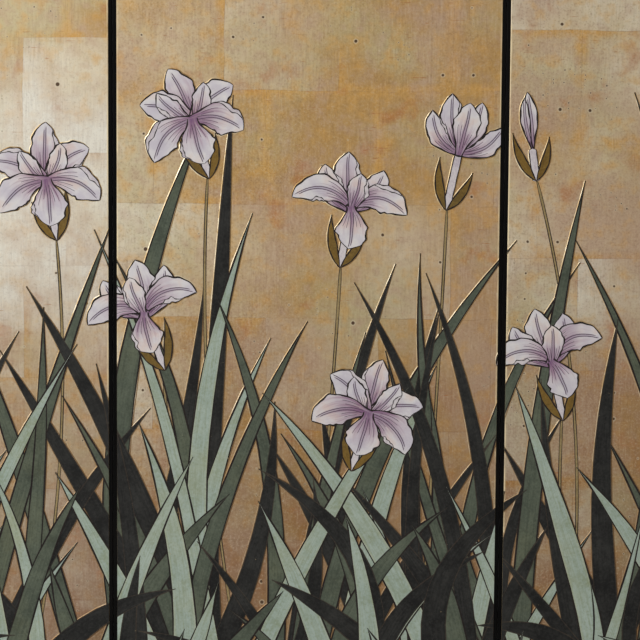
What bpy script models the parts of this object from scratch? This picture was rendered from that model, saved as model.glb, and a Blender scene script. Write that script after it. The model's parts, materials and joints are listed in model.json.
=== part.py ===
"""Four-fold lacquer screen: framed panels with gilded fronts and black backs, on brass loose-pin hinges.

Metres, +Z up. The gilded fronts face -Y and +X runs to the viewer's right. The origin is the bottom centre of
the standing screen: panels 1 to 3 stand in line, and panel 4 is swung forward so that the screen stands alone.
"""

import math

import bmesh
import bpy
from mathutils import Matrix, Vector

MM = 0.001

# Panel
PANEL_WIDTH = 406 * MM
PANEL_HEIGHT = 1830 * MM
PANEL_THICKNESS = 20 * MM
EDGE_ROUND = 0.6 * MM

# Frame of a panel: stiles run down past the bottom rail as feet
STILE_WIDTH = 40 * MM
TOP_RAIL_HEIGHT = 50 * MM
BOTTOM_RAIL_HEIGHT = 70 * MM
FOOT_HEIGHT = 50 * MM
LIP_WIDTH = 3.5 * MM
TENON_LENGTH = 22 * MM
TENON_SHOULDER = 11 * MM
GROOVE_WIDTH = 7 * MM
GROOVE_DEPTH = 8 * MM

# Faces that lie in the rebates
FACE_THICKNESS = 2.5 * MM
FACE_ROUND = 0.8 * MM

# Fits
FIT_GAP = 0.3 * MM
SEAM_GAP = 0.8 * MM
CUT_PAST = 2 * MM

# Hinges
HINGE_BOTTOM_INSET = 200 * MM
HINGE_TOP_INSET = 100 * MM
HINGE_MIDDLE_RISE = 20 * MM
LEAF_HEIGHT = 54 * MM
LEAF_WIDTH = 14 * MM
LEAF_THICKNESS = 1.5 * MM
BARREL_RADIUS = 3 * MM
BORE_RADIUS = 1.75 * MM
PIN_RADIUS = 1.45 * MM
PIN_HEAD_RADIUS = 2.4 * MM
PIN_HEAD_HEIGHT = 3.6 * MM
PIN_TAIL = 1.2 * MM
AXIS_PROUD = 1 * MM
BARREL_CLEARANCE = 0.4 * MM
BARREL_SIDES = 16
BORE_SIDES = 12
ARC_STEPS = 5

# Fold of panel 4 from flat, as the screen stands
REST_FOLD = math.radians(62)

# Sides of a panel and of a seam
LEFT, RIGHT = -1, 1
FRONT, BACK = -1, 1
SIDE_NAME = {LEFT: "left", RIGHT: "right"}

# The face that each seam folds towards, which carries its hinge barrels
SEAM_FACE = {1: FRONT, 2: BACK, 3: FRONT}

# Sizes that follow from those above
HINGE_UPPER = PANEL_HEIGHT - HINGE_TOP_INSET
HINGE_MIDDLE = (HINGE_BOTTOM_INSET + HINGE_UPPER) / 2 + HINGE_MIDDLE_RISE
HINGE_LEVELS = {"lower": HINGE_BOTTOM_INSET, "middle": HINGE_MIDDLE, "upper": HINGE_UPPER}
RAIL_LEVELS = {
    "bottom": (FOOT_HEIGHT, FOOT_HEIGHT + BOTTOM_RAIL_HEIGHT),
    "top": (PANEL_HEIGHT - TOP_RAIL_HEIGHT, PANEL_HEIGHT),
}
PANEL_PITCH = PANEL_WIDTH + SEAM_GAP
HALF_WIDTH = PANEL_WIDTH / 2
HALF_THICKNESS = PANEL_THICKNESS / 2
INNER_X = HALF_WIDTH - STILE_WIDTH
REBATE_FLOOR = HALF_THICKNESS - FACE_THICKNESS - FIT_GAP
FACE_HALF_WIDTH = HALF_WIDTH - LIP_WIDTH - FIT_GAP
FACE_BOTTOM = FOOT_HEIGHT + LIP_WIDTH + FIT_GAP
FACE_TOP = PANEL_HEIGHT - LIP_WIDTH - FIT_GAP
CORE_BOTTOM = FOOT_HEIGHT + BOTTOM_RAIL_HEIGHT + FIT_GAP
CORE_TOP = PANEL_HEIGHT - TOP_RAIL_HEIGHT - FIT_GAP
TONGUE_HALF = GROOVE_WIDTH / 2 - FIT_GAP
TONGUE_REACH = GROOVE_DEPTH - FIT_GAP
AXIS_OFFSET = HALF_THICKNESS + AXIS_PROUD
LEAF_START = AXIS_PROUD + BARREL_CLEARANCE
NOTCH_REACH = BARREL_RADIUS + BARREL_CLEARANCE
NOTCH_END = PIN_HEAD_HEIGHT + 2 * FIT_GAP + BARREL_CLEARANCE


def empty_scene():
    """Removes every object, so that the screen is built from nothing."""
    for obj in list(bpy.data.objects):
        bpy.data.objects.remove(obj, do_unlink=True)


def new_collection(name):
    """A collection of this name in the scene."""
    collection = bpy.data.collections.new(name)
    bpy.context.scene.collection.children.link(collection)
    return collection


def new_material(name, colour, roughness, metallic):
    """A Principled material of one colour."""
    material = bpy.data.materials.new(name)
    material.use_nodes = True
    shader = material.node_tree.nodes["Principled BSDF"]
    shader.inputs["Base Color"].default_value = (*colour, 1.0)
    shader.inputs["Roughness"].default_value = roughness
    shader.inputs["Metallic"].default_value = metallic
    return material


def box_mesh(name, corner, opposite):
    """A closed box between two opposite corners, given in either order."""
    low = Vector(map(min, corner, opposite))
    high = Vector(map(max, corner, opposite))
    bm = bmesh.new()
    bmesh.ops.create_cube(bm, size=1.0, matrix=Matrix.LocRotScale((low + high) / 2, None, high - low))
    mesh = bpy.data.meshes.new(name)
    bm.to_mesh(mesh)
    bm.free()
    return mesh


def rod_mesh(name, radius, bottom, top, sides):
    """A closed upright rod on the Z axis."""
    bm = bmesh.new()
    bmesh.ops.create_cone(
        bm,
        cap_ends=True,
        segments=sides,
        radius1=radius,
        radius2=radius,
        depth=top - bottom,
        matrix=Matrix.Translation((0, 0, (bottom + top) / 2)),
    )
    mesh = bpy.data.meshes.new(name)
    bm.to_mesh(mesh)
    bm.free()
    return mesh


def round_edges(piece, width):
    """Rounds the sharp edges of a piece."""
    bevel = piece.modifiers.new("rounded edges", "BEVEL")
    bevel.width = width
    bevel.segments = 2
    bevel.limit_method = "ANGLE"


class Panel:
    """One panel's own frame: its bottom centre at the origin, hung on an empty that stands on its fold axis."""

    def __init__(self, index, pivot, turn, pivot_in_panel, shift):
        """Stands an empty at the pivot, a point in the unfolded line of panels, and turns it about Z."""
        self.index = index
        self.offset = -Vector(pivot_in_panel)
        self.empty = bpy.data.objects.new(f"panel_{index}_fold_axis", None)
        self.empty.location = Vector(pivot) + shift
        self.empty.rotation_euler.z = turn
        PARTS.objects.link(self.empty)

    def seam_face(self, side):
        """The face that the seam on this side folds towards, or None on a free edge."""
        return SEAM_FACE.get(self.index if side == RIGHT else self.index - 1)

    def place(self, name, mesh, collection, at=(0, 0, 0)):
        """An object on this panel, with its origin at a point of the panel's frame."""
        obj = bpy.data.objects.new(name, mesh)
        obj.parent = self.empty
        obj.location = self.offset + Vector(at)
        collection.objects.link(obj)
        return obj

    def add(self, name, mesh, material, at=(0, 0, 0)):
        """A named piece of the screen, in its material."""
        if not mesh.materials:
            mesh.materials.append(material)
        return self.place(name, mesh, PARTS, at)

    def change(self, piece, operation, mesh, at=(0, 0, 0)):
        """Cuts a shape out of a piece, or joins it on."""
        tool = self.place(f"{piece.name}_{operation.lower()}", mesh, CUTTERS, at)
        tool.hide_render = True
        tool.display_type = "WIRE"
        boolean = piece.modifiers.new(operation.lower(), "BOOLEAN")
        boolean.operation = operation
        boolean.object = tool

    def cut(self, piece, corner, opposite):
        """Cuts a box out of a piece."""
        self.change(piece, "DIFFERENCE", box_mesh(f"{piece.name}_cut", corner, opposite))

    def join(self, piece, corner, opposite):
        """Joins a box on to a piece."""
        self.change(piece, "UNION", box_mesh(f"{piece.name}_join", corner, opposite))

    def cut_rebates(self, piece, corner_x, corner_z, opposite_x, opposite_z):
        """Cuts the beds of the front and back faces into a frame piece."""
        for face in (FRONT, BACK):
            self.cut(
                piece,
                (corner_x, face * REBATE_FLOOR, corner_z),
                (opposite_x, face * (HALF_THICKNESS + CUT_PAST), opposite_z),
            )


def stile(panel, side):
    """An edge post, with lips beside both faces, a groove for the core, mortises for the rails and hinge seats."""
    name = f"panel_{panel.index}_{SIDE_NAME[side]}_stile"
    outer = side * HALF_WIDTH
    inner = side * INNER_X
    past_inner = inner - side * CUT_PAST
    mesh = box_mesh(name, (outer, -HALF_THICKNESS, 0), (inner, HALF_THICKNESS, PANEL_HEIGHT))
    piece = panel.add(name, mesh, BLACK_LACQUER)
    round_edges(piece, EDGE_ROUND)
    panel.cut_rebates(
        piece,
        outer - side * LIP_WIDTH,
        FACE_BOTTOM - FIT_GAP,
        past_inner,
        FACE_TOP + FIT_GAP,
    )
    groove_ends = (CORE_BOTTOM - TONGUE_REACH - 2 * FIT_GAP, CORE_TOP + TONGUE_REACH + 2 * FIT_GAP)
    panel.cut(
        piece,
        (past_inner, -GROOVE_WIDTH / 2, groove_ends[0]),
        (inner + side * GROOVE_DEPTH, GROOVE_WIDTH / 2, groove_ends[1]),
    )
    for bottom, top in RAIL_LEVELS.values():
        panel.cut(
            piece,
            (past_inner, -GROOVE_WIDTH / 2, bottom + TENON_SHOULDER - FIT_GAP),
            (inner + side * (TENON_LENGTH + FIT_GAP), GROOVE_WIDTH / 2, top - TENON_SHOULDER + FIT_GAP),
        )
    face = panel.seam_face(side)
    if face is not None:
        for level in HINGE_LEVELS.values():
            cut_hinge_seat(panel, piece, side, face, level)
    return piece


def cut_hinge_seat(panel, piece, side, face, level):
    """Cuts the notch that clears a hinge barrel, and the bed that its leaf is let into."""
    past_outer = side * (HALF_WIDTH + CUT_PAST)
    notch_half = LEAF_HEIGHT / 2 + NOTCH_END
    notch_x = side * (HALF_WIDTH + SEAM_GAP / 2 - NOTCH_REACH)
    notch_y = face * (AXIS_OFFSET - NOTCH_REACH)
    panel.cut(
        piece,
        (past_outer, face * (HALF_THICKNESS + CUT_PAST), level - notch_half),
        (notch_x, notch_y, level + notch_half),
    )
    bed_half = LEAF_HEIGHT / 2 + FIT_GAP
    bed_end = AXIS_OFFSET - BARREL_RADIUS - LEAF_START - LEAF_WIDTH - FIT_GAP
    panel.cut(
        piece,
        (past_outer, notch_y + face * BARREL_CLEARANCE, level - bed_half),
        (side * (HALF_WIDTH - LEAF_THICKNESS - FIT_GAP), face * bed_end, level + bed_half),
    )


def rail(panel, level_name):
    """A cross rail with a tenon at each end, rebated for the faces and grooved for the core."""
    name = f"panel_{panel.index}_{level_name}_rail"
    bottom, top = RAIL_LEVELS[level_name]
    end = INNER_X - FIT_GAP
    mesh = box_mesh(name, (-end, -HALF_THICKNESS, bottom), (end, HALF_THICKNESS, top))
    piece = panel.add(name, mesh, BLACK_LACQUER)
    up = 1 if level_name == "bottom" else -1
    lip_edge = bottom + LIP_WIDTH if level_name == "bottom" else top - LIP_WIDTH
    core_edge = top if level_name == "bottom" else bottom
    past_end = end + CUT_PAST
    panel.cut_rebates(piece, -past_end, lip_edge, past_end, core_edge + up * CUT_PAST)
    panel.cut(
        piece,
        (-past_end, -GROOVE_WIDTH / 2, core_edge + up * CUT_PAST),
        (past_end, GROOVE_WIDTH / 2, core_edge - up * GROOVE_DEPTH),
    )
    for side in (LEFT, RIGHT):
        panel.join(
            piece,
            (side * (end - CUT_PAST), -TONGUE_HALF, bottom + TENON_SHOULDER),
            (side * (INNER_X + TENON_LENGTH), TONGUE_HALF, top - TENON_SHOULDER),
        )
    return piece


def core_board(panel):
    """The light wooden core, with a tongue all round that sits in the grooves of the frame."""
    name = f"panel_{panel.index}_core_board"
    edge = INNER_X - FIT_GAP
    mesh = box_mesh(name, (-edge, -REBATE_FLOOR, CORE_BOTTOM), (edge, REBATE_FLOOR, CORE_TOP))
    piece = panel.add(name, mesh, CORE_WOOD)
    panel.join(
        piece,
        (-edge - TONGUE_REACH, -TONGUE_HALF, CORE_BOTTOM - TONGUE_REACH),
        (edge + TONGUE_REACH, TONGUE_HALF, CORE_TOP + TONGUE_REACH),
    )
    return piece


def face_sheet(panel, face):
    """The sheet of gesso and lacquer that lies in the rebates: gilded in front, black behind."""
    name = f"panel_{panel.index}_{'gilded_face' if face == FRONT else 'back_face'}"
    outside = face * HALF_THICKNESS
    inside = face * (HALF_THICKNESS - FACE_THICKNESS)
    mesh = box_mesh(name, (-FACE_HALF_WIDTH, outside, FACE_BOTTOM), (FACE_HALF_WIDTH, inside, FACE_TOP))
    piece = panel.add(name, mesh, GILDING if face == FRONT else BLACK_LACQUER)
    round_edges(piece, FACE_ROUND)
    return piece


def knuckle_levels(side):
    """The knuckles of a leaf, as heights from its middle: two outer ones on the left leaf, the middle one right."""
    third = LEAF_HEIGHT / 3
    outer_end = LEAF_HEIGHT / 2
    run = FIT_GAP / 2
    if side == RIGHT:
        return [(-third / 2 + run, third / 2 - run)]
    return [(-outer_end, -third / 2 - run), (third / 2 + run, outer_end)]


def hinge_leaf(panel, seam, level_name, side):
    """One leaf: a plate let into the stile's edge, and knuckles round the pin on necks from the plate."""
    name = f"seam_{seam}_{level_name}_hinge_{SIDE_NAME[side]}_leaf"
    face = SEAM_FACE[seam]
    axis = hinge_axis(-side, face, HINGE_LEVELS[level_name])
    near = side * SEAM_GAP / 2
    far = side * (SEAM_GAP / 2 + LEAF_THICKNESS)
    plate_start = -face * (BARREL_RADIUS + LEAF_START)
    plate_end = plate_start - face * LEAF_WIDTH
    half = LEAF_HEIGHT / 2
    piece = panel.add(name, box_mesh(name, (near, plate_start, -half), (far, plate_end, half)), BRASS, axis)
    round_edges(piece, EDGE_ROUND / 2)
    for bottom, top in knuckle_levels(side):
        neck = box_mesh(f"{name}_neck", (near, 0, bottom), (far, plate_start - face * CUT_PAST, top))
        panel.change(piece, "UNION", neck, axis)
        knuckle = rod_mesh(f"{name}_knuckle", BARREL_RADIUS, bottom, top, BARREL_SIDES)
        panel.change(piece, "UNION", knuckle, axis)
    bore = rod_mesh(f"{name}_bore", BORE_RADIUS, -half - CUT_PAST, half + CUT_PAST, BORE_SIDES)
    panel.change(piece, "DIFFERENCE", bore, axis)
    return piece


def hinge_axis(side, face, level):
    """The point of a panel's frame where the hinge on this side of it turns."""
    return (side * (HALF_WIDTH + SEAM_GAP / 2), face * AXIS_OFFSET, level)


def hinge_pin(panel, seam, level_name):
    """A loose pin, dropped into the knuckles from above: a turned button head on a plain shank."""
    name = f"seam_{seam}_{level_name}_hinge_pin"
    half = LEAF_HEIGHT / 2
    seat = half + FIT_GAP
    profile = []
    for step in range(ARC_STEPS + 1):
        angle = math.pi / 2 * step / ARC_STEPS
        profile.append((PIN_HEAD_RADIUS * math.sin(angle), seat + PIN_HEAD_HEIGHT * math.cos(angle)))
    profile.append((PIN_RADIUS, seat))
    profile.append((PIN_RADIUS, -half - PIN_TAIL / 2))
    profile.append((PIN_RADIUS - PIN_TAIL / 2, -half - PIN_TAIL))
    profile.append((0, -half - PIN_TAIL))
    bm = bmesh.new()
    points = [bm.verts.new((x, 0, z)) for x, z in profile]
    for upper, lower in zip(points, points[1:]):
        bm.edges.new((upper, lower))
    mesh = bpy.data.meshes.new(name)
    bm.to_mesh(mesh)
    bm.free()
    piece = panel.add(name, mesh, BRASS, hinge_axis(RIGHT, SEAM_FACE[seam], HINGE_LEVELS[level_name]))
    screw = piece.modifiers.new("turned", "SCREW")
    screw.axis = "Z"
    screw.steps = BARREL_SIDES
    screw.render_steps = BARREL_SIDES
    screw.use_merge_vertices = True
    screw.merge_threshold = 0.01 * MM
    screw.use_smooth_shade = True
    return piece


def standing_shift():
    """Moves the line of panels, centred on panel 2, so that the standing screen's bottom centre is the origin."""
    reach_x = SEAM_GAP / 2 + PANEL_WIDTH
    back_y = AXIS_PROUD + PANEL_THICKNESS
    left = -PANEL_PITCH - HALF_WIDTH
    swung_x = reach_x * math.cos(REST_FOLD) + back_y * math.sin(REST_FOLD)
    right = 1.5 * PANEL_PITCH + max(swung_x, BARREL_RADIUS)
    swung_y = reach_x * math.sin(REST_FOLD) - AXIS_PROUD * math.cos(REST_FOLD)
    front = -AXIS_OFFSET - max(swung_y, BARREL_RADIUS)
    back = AXIS_OFFSET + BARREL_RADIUS
    return Vector((-(left + right) / 2, -(front + back) / 2, 0))


def build_screen():
    """Stands the four panels, then hangs the hinges between them."""
    shift = standing_shift()
    panels = {}
    for index in range(1, 5):
        centre = Vector(((index - 2) * PANEL_PITCH, 0, 0))
        if index == 2:
            in_panel = Vector((0, 0, 0))
        else:
            side = RIGHT if index == 1 else LEFT
            in_panel = Vector(hinge_axis(side, SEAM_FACE[index if index == 1 else index - 1], 0))
        turn = -REST_FOLD if index == 4 else 0
        panels[index] = Panel(index, centre + in_panel, turn, in_panel, shift)
    for panel in panels.values():
        for side in (LEFT, RIGHT):
            stile(panel, side)
        for level_name in RAIL_LEVELS:
            rail(panel, level_name)
        core_board(panel)
        for face in (FRONT, BACK):
            face_sheet(panel, face)
    for seam in SEAM_FACE:
        for level_name in HINGE_LEVELS:
            hinge_leaf(panels[seam], seam, level_name, LEFT)
            hinge_leaf(panels[seam + 1], seam, level_name, RIGHT)
            hinge_pin(panels[seam], seam, level_name)
    for panel in panels.values():
        place = ", ".join(f"{value:.6f}" for value in panel.empty.location)
        print(f"{panel.empty.name}: {place}")


empty_scene()
PARTS = new_collection("coromandel_screen")
CUTTERS = new_collection("cutters")
GILDING = new_material("gold leaf on gesso", (0.45, 0.28, 0.10), 0.35, 0.6)
BLACK_LACQUER = new_material("black lacquer", (0.004, 0.004, 0.004), 0.25, 0.0)
CORE_WOOD = new_material("cedar core", (0.35, 0.21, 0.11), 0.7, 0.0)
BRASS = new_material("brass", (0.52, 0.36, 0.12), 0.3, 1.0)
build_screen()
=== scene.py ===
"""Looks of a four-fold lacquer screen: gilded fronts with a picture in cut relief, on black frames.

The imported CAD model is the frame. Its pieces get their finishes here, and the relief, the small fasteners
and the studio are added. Lengths are metres unless a name or a comment says millimetres.
"""

import json
import logging
import math
import random
from dataclasses import dataclass, field, replace
from enum import Enum

import bmesh
import bpy
import numpy as np
from mathutils import Euler, Matrix, Vector


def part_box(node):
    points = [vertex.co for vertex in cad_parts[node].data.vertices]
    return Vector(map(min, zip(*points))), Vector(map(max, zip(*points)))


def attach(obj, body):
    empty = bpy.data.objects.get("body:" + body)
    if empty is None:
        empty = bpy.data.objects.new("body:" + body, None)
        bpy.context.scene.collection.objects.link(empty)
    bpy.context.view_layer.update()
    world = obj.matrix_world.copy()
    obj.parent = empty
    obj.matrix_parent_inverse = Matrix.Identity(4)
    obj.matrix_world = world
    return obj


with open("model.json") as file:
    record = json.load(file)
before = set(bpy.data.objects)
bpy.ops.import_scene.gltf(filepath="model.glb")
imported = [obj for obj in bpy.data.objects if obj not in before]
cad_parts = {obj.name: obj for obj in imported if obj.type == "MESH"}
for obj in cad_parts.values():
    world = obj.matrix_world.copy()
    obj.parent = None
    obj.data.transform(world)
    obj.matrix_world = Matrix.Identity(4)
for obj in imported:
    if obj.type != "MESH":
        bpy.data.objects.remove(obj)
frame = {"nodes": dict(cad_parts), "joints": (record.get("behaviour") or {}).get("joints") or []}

log = logging.getLogger("screen")

Material = bpy.types.Material
Mesh = bpy.types.Mesh
Object = bpy.types.Object
Socket = bpy.types.NodeSocket
Pair = tuple[float, float]
Triple = tuple[float, float, float]

MM = 0.001

# Heights of the relief over the leaf, in millimetres
GROUND_SINK = 0.2  # how deep every form is rooted
LIP_HEIGHT = 0.24
PAINT_BASE = 0.26  # the lowest forms, just above any lip
PAINT_ROOM = 0.6  # from the lowest forms to the highest
FOLD_LIFT = 0.008  # a turned margin over its petal
LINE_LIFT = 0.016  # a drawn line over its petal

# Widths of the relief, in millimetres
LIP_WIDTH = 1.7
LIP_WHOLE = 3.5  # forms that reach this far from their middle have the whole lip
EDGE_MARGIN = 0.25  # bare leaf along the edges of a front
THINNEST = 0.45  # half width at the ends of all but thin forms

# Edges of the relief that turn by more stay sharp
CREASE = math.radians(35)

# Slots of the finishes of a painted form
FILL = 0
INKED = 1

# Brush marks: their length in millimetres, and how far apart two strokes lie in the pattern
HAIR_RUN = 33.0
SEEDS_APART = 37.0

# How silvery the leaf of each panel is: partly its own tone, partly painted sheen
PANEL_SILVER_AND_SHEEN = {1: 0.3, 2: 0.0, 3: 0.04, 4: 0.05}


class Tone(Enum):
    """What a stroke of the picture is painted as."""

    CHARCOAL = "charcoal_blades"
    MOSS = "moss_blades"
    SAGE = "sage_blades"
    PETAL = "petals"
    TUBE = "tubes"
    BRACT = "bracts"
    STEM = "stems"
    VEIN = "veins"


class Outline(Enum):
    """How the width of a stroke runs from its foot to its tip."""

    BLADE = "blade"
    TEPAL = "tepal"
    LEAFLET = "leaflet"
    LINE = "line"


class View(Enum):
    """How a flower is seen."""

    OPEN = "open"
    SIDE = "side"
    CUP = "cup"
    BUD = "bud"


# Outlines, in millimetres, and the share by which they swell and thin along a form
INK_WIDTH = {
    Tone.CHARCOAL: 0.9,
    Tone.MOSS: 1.5,
    Tone.SAGE: 1.5,
    Tone.PETAL: 1.5,
    Tone.TUBE: 0.95,
    Tone.BRACT: 1.3,
    Tone.STEM: 0.75,
}
INK_SWELL = 0.3

# Tones of the blades in a clump, and how tall each grows against the tallest
BLADE_TONES = 2 * (Tone.CHARCOAL, Tone.SAGE, Tone.MOSS)
TONE_REACH = {Tone.CHARCOAL: 1.0, Tone.MOSS: 1.04, Tone.SAGE: 0.9}

# Waves of a ruffled edge: height, pace along the stroke, and pace with its seed
RUFFLE_WAVES = ((1.0, 17, 1.0), (0.55, 31, 2.3), (0.4, 49, 3.1))

# How far the middle of a ruffled stroke drifts for a ruffle of 1, in millimetres
RUFFLE_DRIFT = 6


def linear(code: str) -> tuple[float, float, float, float]:
    """Turns an sRGB hex colour into linear light.

    Args:
        code: The colour as "#RRGGBB".

    Returns:
        Red, green, blue and an alpha of one.
    """
    shares = [int(code[i : i + 2], 16) / 255 for i in (1, 3, 5)]
    light = [c / 12.92 if c <= 0.04045 else ((c + 0.055) / 1.055) ** 2.4 for c in shares]
    return (light[0], light[1], light[2], 1.0)


def pitch(size: float) -> float:
    """Gives the texture scale that draws a pattern at its real size.

    Args:
        size: The width of one patch, grain or line, in millimetres.

    Returns:
        Repeats in a metre.
    """
    return 1 / (size * MM)


def put(name: str, data: bpy.types.ID) -> Object:
    """Puts a mesh, a light or a camera in the scene.

    Args:
        name: The object's name.
        data: What it holds.

    Returns:
        The object.
    """
    thing = bpy.data.objects.new(name, data)
    bpy.context.scene.collection.objects.link(thing)
    return thing


class Graph:
    """The node tree of one material."""

    def __init__(self, name: str) -> None:
        """Starts a material with a Principled shader.

        Args:
            name: The material's name.
        """
        self.material = bpy.data.materials.new(name)
        self.material.use_nodes = True
        self.tree = self.material.node_tree
        self.shader = self.tree.nodes["Principled BSDF"]

    def add(self, kind: str, links: dict, output: int | str = 0, **settings: object) -> Socket:
        """Adds a node.

        Args:
            kind: The node's type, without its prefix.
            links: What goes into each socket, named or numbered: a value, or another node's output.
            output: Which of its outputs is wanted.
            settings: Its properties by name.

        Returns:
            That output.
        """
        node = self.tree.nodes.new(f"ShaderNode{kind}")
        for key, value in settings.items():
            setattr(node, key, value)
        self.feed(node, links)
        return node.outputs[output]

    def feed(self, node: bpy.types.Node, links: dict) -> None:
        """Sets or links the inputs of a node.

        Args:
            node: The node.
            links: What goes into each socket, named or numbered.
        """
        for key, value in links.items():
            if isinstance(value, Socket):
                self.tree.links.new(value, node.inputs[key])
            else:
                node.inputs[key].default_value = value

    def share(self, *ranges: tuple) -> Socket:
        """How much of something shows: the product of patterns, each mapped from one range to another.

        Args:
            ranges: For each pattern its output, the values that start and end the range, and if they
                aren't 0 and 1, the results there.

        Returns:
            The product's output.
        """
        product = None
        for pattern, low, high, *ends in ranges:
            first, last = ends or (0.0, 1.0)
            mapped = self.add("MapRange", {0: pattern, 1: low, 2: high, 3: first, 4: last})
            if product is None:
                product = mapped
            else:
                product = self.add("Math", {0: product, 1: mapped}, operation="MULTIPLY")
        return product

    def coat(self, ground: Socket | str, *layers: tuple) -> Socket:
        """Lays colours over one another.

        Args:
            ground: The colour beneath, as an output or as sRGB hex.
            layers: For each colour on top its sRGB hex, and the ranges, as in share, where it shows.

        Returns:
            The colour's output.
        """
        colour = linear(ground) if isinstance(ground, str) else ground
        for over, *ranges in layers:
            colours = {0: self.share(*ranges), 6: colour, 7: linear(over)}
            colour = self.add("Mix", colours, 2, data_type="RGBA")
        return colour

    def dress(self, links: dict) -> Material:
        """Sets or links the inputs of the shader, and gives the material."""
        self.feed(self.shader, links)
        return self.material


@dataclass(frozen=True)
class Pinholes:
    """Round holes in the leaf, at most one to a cell, in millimetres."""

    apart: float
    radius: float
    empty: float  # share of cells without a hole
    strength: float
    grouped: bool


@dataclass(frozen=True)
class LeafGold:
    """Gold leaf, laid by hand in overlapping squares over red bole and rubbed with use.

    Each square has its own tint and shows amber where it laps its neighbour. Rubbing leaves fine upright
    streaks, and the bole shows through as rosy patches, rusty scuffs and pinholes. A silvery bloom lies in
    clouds and on some squares, with painted sheen added towards the left edge and at mid height, a pale
    painted highlight runs along the seams, and the grain is painted stronger where the sheen is.
    """

    silver_and_sheen: float
    name: str = "gold_leaf"
    square: float = 118 * MM
    stagger: float = 0.37
    lap: float = 13 * MM
    hairline: float = 0.4 * MM
    # Width of the painted highlight along the side edges
    rim: float = 1.8 * MM
    wander: float = 8 * MM  # of lines laid by hand
    strides: Triple = (0.317, 0.171, 0.731)  # from panel to panel in the patterns
    tint: float = 0.095  # how much squares differ
    pale: str = "#CABEA5"
    bright: str = "#D7D5CA"
    # Colour of the painted highlight along the side edges
    edge: str = "#DFCEA8"
    gold: str = "#AC8A57"
    amber: str = "#C4974F"
    rosy: str = "#B0957F"
    green: str = "#B3A983"
    rust: str = "#9C6232"
    stain: str = "#A56A3E"
    brown: str = "#6B4C31"
    speck: str = "#46301F"
    holes: tuple[Pinholes, ...] = (Pinholes(31, 2.4, 0.72, 0.95, False), Pinholes(5.5, 1.2, 0.68, 0.8, True))
    metallic: float = 0.7
    rough: Pair = (0.44, 0.62)
    relief: float = 0.25 * MM

    def survey(self, g: Graph, front: "PanelFront") -> tuple[Socket, Socket, Socket, Socket]:
        """Finds a place on the front, as it would lie in line with the others.

        Args:
            g: The material's nodes.
            front: The panel's front.

        Returns:
            How far right of its middle, how high up, where in the patterns, and the same with wandering.
        """
        place = g.add("TexCoord", {}, "Object")
        turned = {"Vector": place, "Center": front.pivot, "Angle": -front.fold}
        flat = g.add("VectorRotate", turned, rotation_type="Z_AXIS")
        local = g.add("VectorMath", {0: flat, 1: (front.middle, 0, 0)}, operation="SUBTRACT")
        side = g.add("SeparateXYZ", {0: local}, "X")
        up = g.add("SeparateXYZ", {0: local}, "Z")
        level = g.add("CombineXYZ", {0: side, 1: up, 2: 0.0})
        own = [stride * front.index for stride in self.strides]
        spot = g.add("VectorMath", {0: level, 1: own}, operation="ADD")
        drift = g.add("TexNoise", {"Vector": spot, "Scale": pitch(110), "Detail": 5.0}, "Color")
        centred = g.add("VectorMath", {0: drift, 1: (0.5, 0.5, 0.5)}, operation="SUBTRACT")
        nudge = g.add("VectorMath", {0: centred, "Scale": self.wander}, operation="SCALE")
        uneven = g.add("VectorMath", {0: spot, 1: nudge}, operation="ADD")
        return side, up, spot, uneven

    def squares(self, g: Graph, place: Socket) -> list[Socket]:
        """Lays out the squares of leaf.

        Args:
            g: The material's nodes.
            place: Where on the front.

        Returns:
            A number of its own for each square, the hairlines between squares, and the bands where they lap.
        """
        rows = {
            "Vector": place,
            "Color1": (0, 0, 0, 1),
            "Color2": (1, 1, 1, 1),
            "Mortar": (0.5, 0.5, 0.5, 1),
            "Scale": 1.0,
            "Brick Width": self.square,
            "Row Height": self.square,
        }
        bands = ((0.0, 0.0, "Color"), (self.hairline, 0.5, "Fac"), (self.lap, 1.0, "Fac"))
        found = []
        for width, soft, output in bands:
            joints = {"Mortar Size": width, "Mortar Smooth": soft}
            found.append(g.add("TexBrick", {**rows, **joints}, output, offset=self.stagger))
        return found

    def pierce(self, g: Graph, colour: Socket, place: Socket, where: tuple) -> Socket:
        """Adds the pinholes, each with a pale rim of lifted leaf.

        Args:
            g: The material's nodes.
            colour: The colour of the leaf.
            place: Where on the front.
            where: A range, as in share, that keeps some of the holes in groups.

        Returns:
            The colour's output.
        """
        for holes in self.holes:
            soft = holes.radius / holes.apart
            cells = {"Vector": place, "Scale": pitch(holes.apart)}
            chance = g.add("TexVoronoi", cells, "Color", voronoi_dimensions="2D")
            lottery = g.add("SeparateColor", {0: chance})
            reach = g.share((lottery, holes.empty, 1.0, 0.0, soft))
            away = g.add("TexVoronoi", cells, "Distance", voronoi_dimensions="2D")
            inside = g.add("Math", {0: reach, 1: away}, operation="SUBTRACT")
            group = (where,) if holes.grouped else ()
            colour = g.coat(
                colour,
                (self.pale, (inside, -0.5 * soft, 0.0, 0.0, 0.5), (reach, 0.0, 0.2 * soft), *group),
                (self.speck, (inside, 0.0, 0.3 * soft, 0.0, holes.strength), *group),
            )
        return colour

    def build(self, front: "PanelFront") -> Material:
        """Makes the leaf for one panel.

        Args:
            front: The panel's front, which sets where the pattern lies.

        Returns:
            The material.
        """
        g = Graph(f"{self.name}_{front.index}")
        side, up, spot, uneven = self.survey(g, front)
        lot, joint, lap = self.squares(g, uneven)
        cloud = g.add("TexNoise", {"Vector": spot, "Scale": pitch(200), "Detail": 7.0, "Roughness": 0.62})
        patch = g.add("TexNoise", {"Vector": spot, "Scale": pitch(59), "Detail": 7.0, "Roughness": 0.68})
        blotch = g.add("TexNoise", {"Vector": uneven, "Scale": pitch(37), "Detail": 6.0})
        mottle = g.add("TexNoise", {"Vector": uneven, "Scale": pitch(16), "Detail": 4.0})
        hue = g.add("TexNoise", {"Vector": spot, "Scale": pitch(125), "Detail": 4.0}, "Color")
        redder = g.add("SeparateColor", {0: hue}, "Red")
        greener = g.add("SeparateColor", {0: hue}, "Green")
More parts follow.
